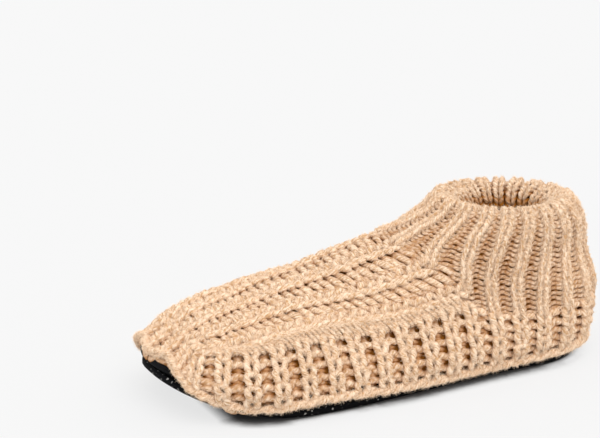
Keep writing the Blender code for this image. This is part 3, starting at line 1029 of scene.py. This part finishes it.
def yarn_finish(name, light, shade, deep):
    """Soft spun yarn: plies that twist along the strand, their grooves darkened as painted shade, fine
    fibres, and painted shade deep in the knit, browner and then darker.
    """
    paint = Paint(name, Roughness=0.85, Sheen_Weight=0.05, Sheen_Roughness=0.5, Specular_IOR_Level=0.06)
    strand = paint.coordinates("UV")
    along = paint.axis(strand, "X")
    twist = along / PLY_LENGTH + paint.axis(strand, "Y")
    ply = (twist * (2 * math.pi * PLIES)).math("SINE") * 0.5 + 0.5
    fibre_place = paint.node("ShaderNodeCombineXYZ", {},
                             {"X": along * FIBRES_ALONG, "Y": twist * FIBRES_AROUND})
    fibres = paint.noise(fibre_place, 1.0, detail=3.0, roughness=0.65, contrast=3.0)
    cloud = paint.noise(paint.coordinates("Object"), YARN_CLOUDS, detail=2.0, roughness=0.6, contrast=2.0)
    # Tone: random mottle of the fibres and clouds, and the plies' twist, which darkens their grooves as
    # painted shade and lightens their crests as painted highlight
    tone = ply * PLY_TONE + fibres * FIBRE_TONE + cloud * CLOUD_TONE
    surface = paint.ramp(tone, [(SHADE_TONE, shade), (LIGHT_TONE, light)])
    # Painted shade: the deeper the yarn lies in the knit, the browner and then the darker its colour
    depth = paint.depth()
    shown = ((depth - DEEPEST) / (HIGHEST - DEEPEST)).clipped()
    painted_dark = ((depth - DEEPEST) / (LOST - DEEPEST)).clipped()
    inside = paint.mix(painted_dark, (*deep, 1.0), (*darker(deep, LOST_SHARE), 1.0))
    paint.feed("Base Color", paint.mix(shown, inside, surface))
    relief = ply * PLY_RELIEF + fibres * FIBRE_RELIEF
    paint.feed("Normal", paint.bump(relief, strength=0.8, distance=0.0010))
    return paint.material


def backing_finish(name, colour, deep, painted_dark):
    """The inside of the knit, seen only through its gaps and under its edge: a dark brown cloth that is
    painted shade in the gaps, turning to the sole's black as painted shade under the edge and deep in the
    collar.
    """
    paint = Paint(name, Roughness=0.95, Specular_IOR_Level=0.1)
    cloud = paint.noise(paint.coordinates("Object"), BACKING_GRAIN, detail=3.0, roughness=0.6)
    # Painted shade: the share of the sole's black, from the shade depth given to each point
    shaded = (paint.depth() * (-1.0 / BACKING_FADE)).math("MINIMUM", 1.0)
    cloth = paint.ramp(cloud, [(GRAIN_LOW, deep), (GRAIN_HIGH, colour)])
    paint.feed("Base Color", paint.mix(shaded, cloth, (*painted_dark, 1.0)))
    paint.feed("Normal", paint.bump(cloud, strength=0.6, distance=0.0005))
    return paint.material


def felt_finish(name, colour, deep, specks):
    """Dense matt cloth with a fine grain and a few pale specks."""
    paint = Paint(name, Roughness=0.9, Specular_IOR_Level=0.1)
    place = paint.coordinates("Object")
    grain = paint.noise(place, FELT_GRAIN, detail=3.0, roughness=0.6)
    cloud = paint.noise(place, FELT_SPECKS, detail=1.0, roughness=0.4)
    speck = paint.ramp(cloud, [(SPECK_LOW, BLACK), (SPECK_HIGH, WHITE)])
    base = paint.ramp(grain, [(GRAIN_LOW, deep), (GRAIN_HIGH, colour)])
    paint.feed("Base Color", paint.mix(speck, base, (*specks, 1.0)))
    paint.feed("Normal", paint.bump(grain, strength=0.7, distance=0.0004))
    return paint.material


# Settings that a user would change

def number(name, about, default, **kind):
    """A number with its label and its tip."""
    return bpy.props.FloatProperty(name=name, description=about, default=default, **kind)


def numbers(name, about, default, subtype="COLOR"):
    """A colour or a place with its label and its tip."""
    return bpy.props.FloatVectorProperty(name=name, description=about, default=default, subtype=subtype)


class KnitSizes(bpy.types.PropertyGroup):
    """Sizes of the yarn and its stitches."""

    shaft_yarn: number("Shaft Yarn", "Thickness of the yarn in the shaft", 0.0024, unit="LENGTH")
    band_yarn: number("Band Yarn", "Thickness of the yarn in the side band", 0.0036, unit="LENGTH")
    vamp_yarn: number("Vamp Yarn", "Thickness of the yarn in the vamp", 0.0034, unit="LENGTH")
    edge_yarn: number("Edge Yarn", "Size of the bound-off edge's strands", 0.0020, unit="LENGTH")


class SockColours(bpy.types.PropertyGroup):
    """Colours of the finishes."""

    # yarn and yarn_shade are the lighter and darker ends of the yarn's random mottle; along the twist they
    # also give a painted highlight on the plies and painted shade in the grooves between them
    yarn: numbers("Yarn", "Lit side of the yarn", (0.99, 0.775, 0.58))
    yarn_shade: numbers("Yarn Shade", "Grooves in the yarn", (0.62, 0.36, 0.18))
    # Painted shade: the yarn's colour deep in the knit
    yarn_painted_shade: numbers("Yarn Deep", "Yarn deep in the knit", (0.43, 0.15, 0.014))
    fuzz: numbers("Fuzz", "Loose fibres on the knit", (0.93, 0.74, 0.55))
    # Painted shade: the backing's dark brown, seen in the knit's gaps
    gap: numbers("Gap", "Inside of the knit", (0.42, 0.155, 0.02))
    sole: numbers("Sole", "Black sole", (0.005, 0.005, 0.006))
    insole: numbers("Insole", "Pad inside the foot", (0.50, 0.36, 0.24))
    floor: numbers("Floor", "Studio floor", (0.13, 0.13, 0.13))


class StageSizes(bpy.types.PropertyGroup):
    """The camera and the lights."""

    azimuth: number("Azimuth", "Camera's direction round the sock", math.radians(154.5), subtype="ANGLE")
    elevation: number("Elevation", "Camera's height above the horizon", math.radians(16.5), subtype="ANGLE")
    distance: number("Distance", "Camera's distance from its aim", 0.9, unit="LENGTH")
    aim: numbers("Aim", "Point at the middle of the picture", (0.0395, 0.0, 0.0834), subtype="XYZ")
    lens: number("Lens", "Focal length on a 36 mm sensor", 111.4)
    key: number("Key Light", "Strength of the wide soft sun", 2.0)
    sky: number("Sky", "Strength of the light from all round", 1.0)


# Pieces

FORM = UpperForm()

# Backing: how far inside the knit it lies, and the painted shade that darkens it under the knit's edge
BACKING_DEPTH = 3.6
BACKING_WALL = 1.2
BACKING_SKIRT = 2.5
BACKING_SEAM = 0.2
BACKING_GRAIN_SHARE = 0.6
EDGE_SHADE = 3.0

# Where a course's yarn runs in its own height
BAND_PLACE = 0.76
VAMP_PLACE = 0.65
SHAFT_PLACE = 0.8

# Band: how far its last course is evened out under the shaft
LAST_RECESS = 0.6
LAST_TUCK = 0.4

# Vamp: how far its courses go past its last rib, and how they narrow, thin and sink under the shaft
VAMP_REACH = 0.28
VAMP_DIVE = 0.2
VAMP_END_TAPER = 0.45
VAMP_END_SINK = 0.7
VAMP_SLIMMING = 0.3

# The vamp's first courses, which show from in front: they go further, and take no more painted shade than at
# this depth
VAMP_TOE_COURSES = 2
VAMP_TOE_REACH = 0.22
VAMP_TOE_DEPTH = -1.0

# Shaft and hem: the ends of its first courses, its flatter crest, and the painted shade inside the collar,
# which darkens the hem's yarn and backing further down
SHAFT_DIVE = 0.6
CREST_COURSES = 4.0
CREST_RECESS = 0.5
HEM_SHADE = 12.0
HEM_FADE = 1.5

# Bound-off edge: two strands twisted round each other
EDGE_TWISTS_PER_RIB = 1.0
EDGE_SAMPLES = 24
EDGE_SCALLOP = 0.05
EDGE_WANDER = 0.03
EDGE_HEIGHT = 1.2
EDGE_UNEVEN = 0.5
EDGE_SPREAD = 0.7
EDGE_FULLNESS = 1.35
EDGE_VARIES = 0.08

# Fuzz
KNIT_PIECES = ("knit_band", "knit_vamp", "knit_pick_up", "knit_shaft", "knit_hem", "bound_edge")
FUZZ_COUNT = 190000
FUZZ_DEPTH = -0.4
FUZZ_LENGTH = (0.6, 2.0)
FUZZ_SPREAD = 0.9
FUZZ_WIDTH = 0.13
FUZZ_LOWEST = 0.3

# Sole and insole: share of their colour in the grain, and their specks
SOLE_GRAIN_SHARE = 0.3
SOLE_SPECKS = (0.35, 0.34, 0.32)
INSOLE_GRAIN_SHARE = 0.7
INSOLE_SPECKS = (0.55, 0.42, 0.30)

# Stage: a floor that glows as painted light where it is open to the sky, darkening to a painted contact
# shadow where the sock stands close over it, and a wide sun
FLOOR_SIZE = 8.0
FLOOR_CUTS = 4
FLOOR_GLOW = 0.74
FLOOR_CONTACT = 0.008
FLOOR_SAMPLES = 16
FLOOR_DARK, FLOOR_OPEN = 0.45, 0.9
KEY_PLACE = (0.10, 0.62, 0.88)
KEY_ANGLE = math.radians(50.0)
SENSOR_WIDTH = 36.0


def gauges(context):
    """How the loops lie in each part of the knit."""
    sizes = context.scene.sock_knit
    shaft, band, vamp = (width / MM / 2 for width in (sizes.shaft_yarn, sizes.band_yarn, sizes.vamp_yarn))
    return {
        #              radius swell rise rung lean width ridge dip recess bump tuck sink skew
        "shaft": Gauge(shaft, 0.14, 0.78, 0.75, 0.050, 6.8, 1.5, 1.2, 2.3, 1.0, 0.8, 0.9, 0.10),
        "hem":   Gauge(shaft, -0.03, 1.00, 0.60, 0.010, 8.5, 0.6, 2.1, 3.4, 0.8, 1.6, 0.9, 0.00),
        "band":  Gauge(band, -0.05, 0.70, 0.60, 0.115, 7.8, 1.7, 1.1, 2.6, 1.7, 1.0, 1.6, 0.06),
        "vamp":  Gauge(vamp, 0.0, 0.72, 0.25, 0.120, 7.4, 0.8, 1.4, 1.3, 1.5, 1.3, 1.2, 0.08),
    }


def knit_piece(context, name, mesh):
    """Strands of yarn as a finished piece, all in the one yarn that the knitted pieces share."""
    colours = context.scene.sock_colours
    finish = bpy.data.materials.get("tan_yarn") or yarn_finish(
        "tan_yarn", colours.yarn, colours.yarn_shade, colours.yarn_painted_shade)
    settle(mesh.build(name, finish), "knit_yarn")


class SOCK_OT_backing(bpy.types.Operator):
    """Make the inside of the knit: one thin cloth from the lower edge, over the crest and down inside"""

    bl_idname = "sock.backing"
    bl_label = "Backing"

    def execute(self, context):
        points, quads, depths = [], [], []
        count = 0
        for grid, shade in self.sheets(FORM):
            at = np.arange(shade.size).reshape(shade.shape)
            cells = np.stack([at[:-1, :-1], at[:-1, 1:], at[1:, 1:], at[1:, :-1]], -1).reshape(-1, 4)
            for half, faces in ((grid, cells), (grid * MIRROR, cells[:, ::-1])):
                points.append(half.reshape(-1, 3))
                quads.append(faces + count)
                depths.append(-shade.ravel())
                count += shade.size
        colours = context.scene.sock_colours
        # The backing's brown and the sole's black on it are painted shade
        finish = backing_finish("knit_inside", colours.gap, darker(colours.gap, BACKING_GRAIN_SHARE),
                                colours.sole)
        piece = mesh_object("knit_backing", np.concatenate(points), np.concatenate(quads), finish,
                            depths=np.concatenate(depths))
        bpy.ops.object.select_all(action="DESELECT")
        context.view_layer.objects.active = piece
        piece.select_set(True)
        bpy.ops.object.mode_set(mode="EDIT")
        bpy.ops.mesh.select_all(action="SELECT")
        bpy.ops.mesh.remove_doubles(threshold=BACKING_SEAM * MM)
        bpy.ops.transform.shrink_fatten(value=-BACKING_DEPTH * MM)
        bpy.ops.object.mode_set(mode="OBJECT")
        wall = piece.modifiers.new("Wall", "SOLIDIFY")
        wall.thickness = BACKING_WALL * MM
        wall.offset = -1.0
        bpy.ops.object.modifier_apply(modifier=wall.name)
        piece.data.shade_smooth()
        settle(piece, "knit_yarn", "upper")
        return {"FINISHED"}

    @staticmethod
    def sheets(form):
        """The grids of one half of the cloth, and how deep in painted shade each of their points lies."""
        band = np.concatenate([form.band[:1] - UP * BACKING_SKIRT, form.band])
        above = np.stack([lengths(column) for column in np.swapaxes(band, 0, 1)], 1) - BACKING_SKIRT
        # Painted shade: darkest up to just above the knit's lower edge, fading out above it
        under_edge = ease((table(EDGE_RISE, form.run) + EDGE_SHADE - above) / (EDGE_SHADE / 2))
        yield band, BACKING_FADE * under_edge
        yield form.shaft, np.zeros(form.shaft.shape[:2])
        yield form.vamp, np.zeros(form.vamp.shape[:2])
        rows, columns = form.hem.shape[:2]
        # Painted shade, deeper down the hem inside the collar
        yield form.hem, np.tile(np.linspace(0.0, HEM_SHADE, rows)[:, None], columns)


class SOCK_OT_band(bpy.types.Operator):
    """Knit the side band, from the lower edge up, all round the foot"""

    bl_idname = "sock.band"
    bl_label = "Side Band"

    def execute(self, context):
        rng = np.random.default_rng(SEED)
        chart = band_chart(FORM)
        gauge = gauges(context)["band"]
        last = gauge._replace(recess=gauge.recess * LAST_RECESS, tuck=gauge.tuck * LAST_TUCK)
        ribs = middle_ribs(HEEL / COLUMNS_PER_RIB)
        mesh = YarnMesh()
        for course in range(BAND_COURSES):
            place = course + BAND_PLACE
            front = last if course == BAND_COURSES - 1 else gauge
            mesh.add(rib_course(chart, place, ribs, front, rng, RIB_SAMPLES), True)
            mesh.add(second_strand(chart, place, ribs, gauge, rng, BAND_BEHIND, closed=True), True)
        knit_piece(context, "knit_band", mesh)
        return {"FINISHED"}


class SOCK_OT_vamp(bpy.types.Operator):
    """Knit the vamp, from the toe up to the throat"""

    bl_idname = "sock.vamp"
    bl_label = "Vamp"

    def execute(self, context):
        rng = np.random.default_rng(SEED + 1)
        chart = vamp_chart(FORM)
        gauge = gauges(context)["vamp"]
        mesh = YarnMesh()
        for course in range(VAMP_COURSES + CHART_MARGIN):
            place = course + VAMP_PLACE
            beyond = max(course - VAMP_COURSES + 1, 0)
            at_toe = course < VAMP_TOE_COURSES
            reach = VAMP_RIBS + VAMP_REACH - VAMP_END_TAPER * beyond
            slim = 1 - VAMP_SLIMMING * ease((course - VAMP_COURSES + VAMP_MARGIN) / (2 * VAMP_MARGIN))
            finer = gauge._replace(radius=gauge.radius * slim, ridge=gauge.ridge * slim,
                                   sink=gauge.sink + VAMP_END_SINK * beyond)
            ribs = middle_ribs(reach + (VAMP_TOE_REACH if at_toe else 0.0))
            strand = rib_course(chart, place, ribs, finer, rng, RIB_SAMPLES, dive=VAMP_DIVE)
            # The first courses are given no more painted shade than at VAMP_TOE_DEPTH
            if at_toe:
                strand = strand._replace(height=np.maximum(strand.height, VAMP_TOE_DEPTH))
            mesh.add(strand, False)
            behind = second_strand(chart, place, middle_ribs(reach), finer, rng, VAMP_BEHIND, closed=False)
            mesh.add(behind, False)
        knit_piece(context, "knit_vamp", mesh)
        return {"FINISHED"}


class SOCK_OT_pick_up(bpy.types.Operator):
    """Work the rows of stitches picked up along both edges of the vamp"""

    bl_idname = "sock.pick_up"
    bl_label = "Picked-up Stitches"

    def execute(self, context):
        rng = np.random.default_rng(SEED + 3)
        strip = pick_up_strip(FORM)
        radius = gauges(context)["shaft"].radius * PICK_UP_YARN
        mesh = YarnMesh()
        for low, high in PICK_UP_ROWS:
            strand = picked_up_row(strip, low, high, radius, rng)
            mesh.add(strand, False)
            mesh.add(strand._replace(path=strand.path * MIRROR, out=strand.out * MIRROR), False)
        knit_piece(context, "knit_pick_up", mesh)
        return {"FINISHED"}


class SOCK_OT_shaft(bpy.types.Operator):
    """Knit the shaft up to its crest, and the hem that turns in over it"""

    bl_idname = "sock.shaft"
    bl_label = "Shaft and Hem"

    def execute(self, context):
        rng = np.random.default_rng(SEED + 2)
        chart, lowest = shaft_chart(FORM)
        gauge_of = gauges(context)
        shaft, hem = YarnMesh(), YarnMesh()
        for course in range(SHAFT_COURSES + HEM_COURSES):
            name, mesh = ("shaft", shaft) if course < SHAFT_COURSES else ("hem", hem)
            first = np.argmax(lowest <= course) / COLUMNS_PER_RIB
            ribs = (MIDDLE_RIB + first, MIDDLE_RIB + chart.ribs - first)
            crest = min(abs(course + 0.5 - SHAFT_COURSES) / CREST_COURSES, 1.0)
            gauge = gauge_of[name]
            gauge = gauge._replace(recess=gauge.recess * (CREST_RECESS + (1 - CREST_RECESS) * crest))
            strand = rib_course(chart, course + SHAFT_PLACE, ribs, gauge, rng, SHAFT_SAMPLES,
                                dive=SHAFT_DIVE if first else 0.0)
            # Painted shade: the hem's yarn counts as lying deeper, so it is coloured darker, the further down
            # inside the collar it lies
            shade = HEM_SHADE * (max(course - SHAFT_COURSES, 0) / HEM_COURSES) ** HEM_FADE
            mesh.add(strand._replace(height=strand.height - shade), first == 0)
        knit_piece(context, "knit_shaft", shaft)
        knit_piece(context, "knit_hem", hem)
        return {"FINISHED"}


class SOCK_OT_edge(bpy.types.Operator):
    """Bind off the lower edge with a soft cord of two strands"""

    bl_idname = "sock.edge"
    bl_label = "Bound Edge"

    def execute(self, context):
        ply = context.scene.sock_knit.edge_yarn / MM / 2
        chart = band_chart(FORM)
        twists = round(chart.ribs * EDGE_TWISTS_PER_RIB)
        turn = np.arange(twists * EDGE_SAMPLES) / EDGE_SAMPLES
        ribs = MIDDLE_RIB + chart.ribs * turn / twists
        drift = wander(chart, ribs, 0.0)
        course = EDGE_COURSE - EDGE_SCALLOP * np.cos(2 * math.pi * ribs) + EDGE_WANDER * drift
        line = chart.stitches(ribs, course, EDGE_HEIGHT + EDGE_WANDER * drift,
                              ply * (EDGE_FULLNESS + EDGE_VARIES * drift))
        mesh = YarnMesh()
        for start in (0.0, math.pi):
            angle = (2 * math.pi * turn + start + EDGE_UNEVEN * drift)[:, None]
            aside = EDGE_SPREAD * ply * (line.out * np.cos(angle) + UP * np.sin(angle))
            mesh.add(line._replace(path=line.path + aside), True)
        knit_piece(context, "bound_edge", mesh)
        return {"FINISHED"}


class SOCK_OT_fuzz(bpy.types.Operator):
    """Grow short loose fibres on the outside of the knit"""

    bl_idname = "sock.fuzz"
    bl_label = "Fuzz"

    def execute(self, context):
        rng = np.random.default_rng(SEED + 4)
        points, normals = [], []
        for name in KNIT_PIECES:
            mesh = bpy.data.objects[name].data
            point, normal = np.zeros((2, len(mesh.vertices) * 3), np.float32)
            depth = np.zeros(len(mesh.vertices), np.float32)
            mesh.vertices.foreach_get("co", point)
            mesh.vertices.foreach_get("normal", normal)
            mesh.attributes["depth"].data.foreach_get("value", depth)
            outside = depth > FUZZ_DEPTH
            points.append(point.reshape(-1, 3)[outside] / MM)
            normals.append(normal.reshape(-1, 3)[outside])
        points, normals = np.concatenate(points), np.concatenate(normals)
        chosen = rng.integers(len(points), size=FUZZ_COUNT)
        root, out = points[chosen], normals[chosen]
        length = rng.uniform(*FUZZ_LENGTH, (FUZZ_COUNT, 1))
        way = unit(out + rng.normal(0.0, FUZZ_SPREAD, out.shape))
        across = unit(np.cross(way, rng.normal(size=out.shape))) * FUZZ_WIDTH / 2
        fibres = np.stack([root - across, root + across, root + way * length], 1)
        fibres[..., 2] = np.maximum(fibres[..., 2], FUZZ_LOWEST)
        corners = np.arange(FUZZ_COUNT * 3).reshape(-1, 3)
        finish = Paint("yarn_fuzz", Roughness=0.9, Specular_IOR_Level=0.1,
                       Base_Color=(*context.scene.sock_colours.fuzz, 1.0))
        settle(mesh_object("knit_fuzz", fibres.reshape(-1, 3), corners, finish.material), "knit_yarn")
        return {"FINISHED"}


class SOCK_OT_sole(bpy.types.Operator):
    """Finish the sole and the insole"""

    bl_idname = "sock.sole"
    bl_label = "Sole and Insole"

    def execute(self, context):
        colours = context.scene.sock_colours
        for node, name, colour, share, specks in (
                ("sole", "black_sole", colours.sole, SOLE_GRAIN_SHARE, SOLE_SPECKS),
                ("insole", "insole_pad", colours.insole, INSOLE_GRAIN_SHARE, INSOLE_SPECKS)):
            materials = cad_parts[node].data.materials
            materials.clear()
            materials.append(felt_finish(name, colour, darker(colour, share), specks))
        return {"FINISHED"}


class SOCK_OT_stage(bpy.types.Operator):
    """Set up the floor, the light and the camera"""

    bl_idname = "sock.stage"
    bl_label = "Stage"

    def execute(self, context):
        scene = context.scene
        stage = scene.sock_stage
        bpy.ops.object.select_all(action="DESELECT")
        bpy.ops.mesh.primitive_grid_add(x_subdivisions=FLOOR_CUTS, y_subdivisions=FLOOR_CUTS, size=FLOOR_SIZE)
        floor = context.active_object
        floor.name = "studio_floor"
        paint = Paint("floor_paint", Roughness=0.9, Specular_IOR_Level=0.0, Emission_Strength=FLOOR_GLOW,
                      Base_Color=(*scene.sock_colours.floor, 1.0))
        # Painted contact shadow: the floor's glow fades out where the sock stands within reach above it
        open_share = paint.node("ShaderNodeAmbientOcclusion", {"samples": FLOOR_SAMPLES},
                                {"Distance": FLOOR_CONTACT}, "AO")
        paint.feed("Emission Color", paint.ramp(open_share, [(FLOOR_DARK, BLACK), (FLOOR_OPEN, WHITE)]))
        floor.data.materials.append(paint.material)

        scene.world = bpy.data.worlds.new("studio")
        scene.world.use_nodes = True
        background = scene.world.node_tree.nodes["Background"]
        background.inputs["Color"].default_value = (*WHITE, 1.0)
        background.inputs["Strength"].default_value = stage.sky
        sun = bpy.data.lights.new("key_light", "SUN")
        sun.angle = KEY_ANGLE
        sun.energy = stage.key
        self.place(scene, "key_light", sun, KEY_PLACE, -np.array(KEY_PLACE))

        level = math.cos(stage.elevation)
        back = np.array([math.sin(stage.azimuth) * level, -math.cos(stage.azimuth) * level,
                         math.sin(stage.elevation)])
        lens = bpy.data.cameras.new("camera")
        lens.lens = stage.lens
        lens.sensor_width = SENSOR_WIDTH
        scene.camera = self.place(scene, "camera", lens, np.array(stage.aim) + stage.distance * back, -back)
        scene.view_settings.view_transform = "Standard"
        return {"FINISHED"}

    @staticmethod
    def place(scene, name, data, where, direction):
        """Put a camera or a light somewhere, facing along a direction."""
        thing = bpy.data.objects.new(name, data)
        scene.collection.objects.link(thing)
        thing.location = where
        thing.rotation_euler = Vector(direction).to_track_quat("-Z", "Y").to_euler()
        return thing


class SOCK_PT_panel(bpy.types.Panel):
    """The sock's pieces and settings"""

    bl_idname = "SOCK_PT_panel"
    bl_label = "Slipper Sock"
    bl_space_type = "VIEW_3D"
    bl_region_type = "UI"
    bl_category = "Sock"

    def draw(self, context):
        for settings in (context.scene.sock_knit, context.scene.sock_colours, context.scene.sock_stage):
            for name in settings.__annotations__:
                self.layout.prop(settings, name)
        for operator in OPERATORS:
            self.layout.operator(operator.bl_idname)


OPERATORS = (SOCK_OT_backing, SOCK_OT_band, SOCK_OT_vamp, SOCK_OT_pick_up, SOCK_OT_shaft, SOCK_OT_edge,
             SOCK_OT_fuzz, SOCK_OT_sole, SOCK_OT_stage)
CLASSES = (KnitSizes, SockColours, StageSizes, *OPERATORS, SOCK_PT_panel)


def register():
    for cls in CLASSES:
        bpy.utils.register_class(cls)
    bpy.types.Scene.sock_knit = bpy.props.PointerProperty(type=KnitSizes)
    bpy.types.Scene.sock_colours = bpy.props.PointerProperty(type=SockColours)
    bpy.types.Scene.sock_stage = bpy.props.PointerProperty(type=StageSizes)


def unregister():
    del bpy.types.Scene.sock_stage
    del bpy.types.Scene.sock_colours
    del bpy.types.Scene.sock_knit
    for cls in reversed(CLASSES):
        bpy.utils.unregister_class(cls)


def main():
    register()
    bpy.ops.sock.backing()
    bpy.ops.sock.band()
    bpy.ops.sock.vamp()
    bpy.ops.sock.pick_up()
    bpy.ops.sock.shaft()
    bpy.ops.sock.edge()
    bpy.ops.sock.fuzz()
    bpy.ops.sock.sole()
    bpy.ops.sock.stage()


if __name__ == "__main__":
    main()
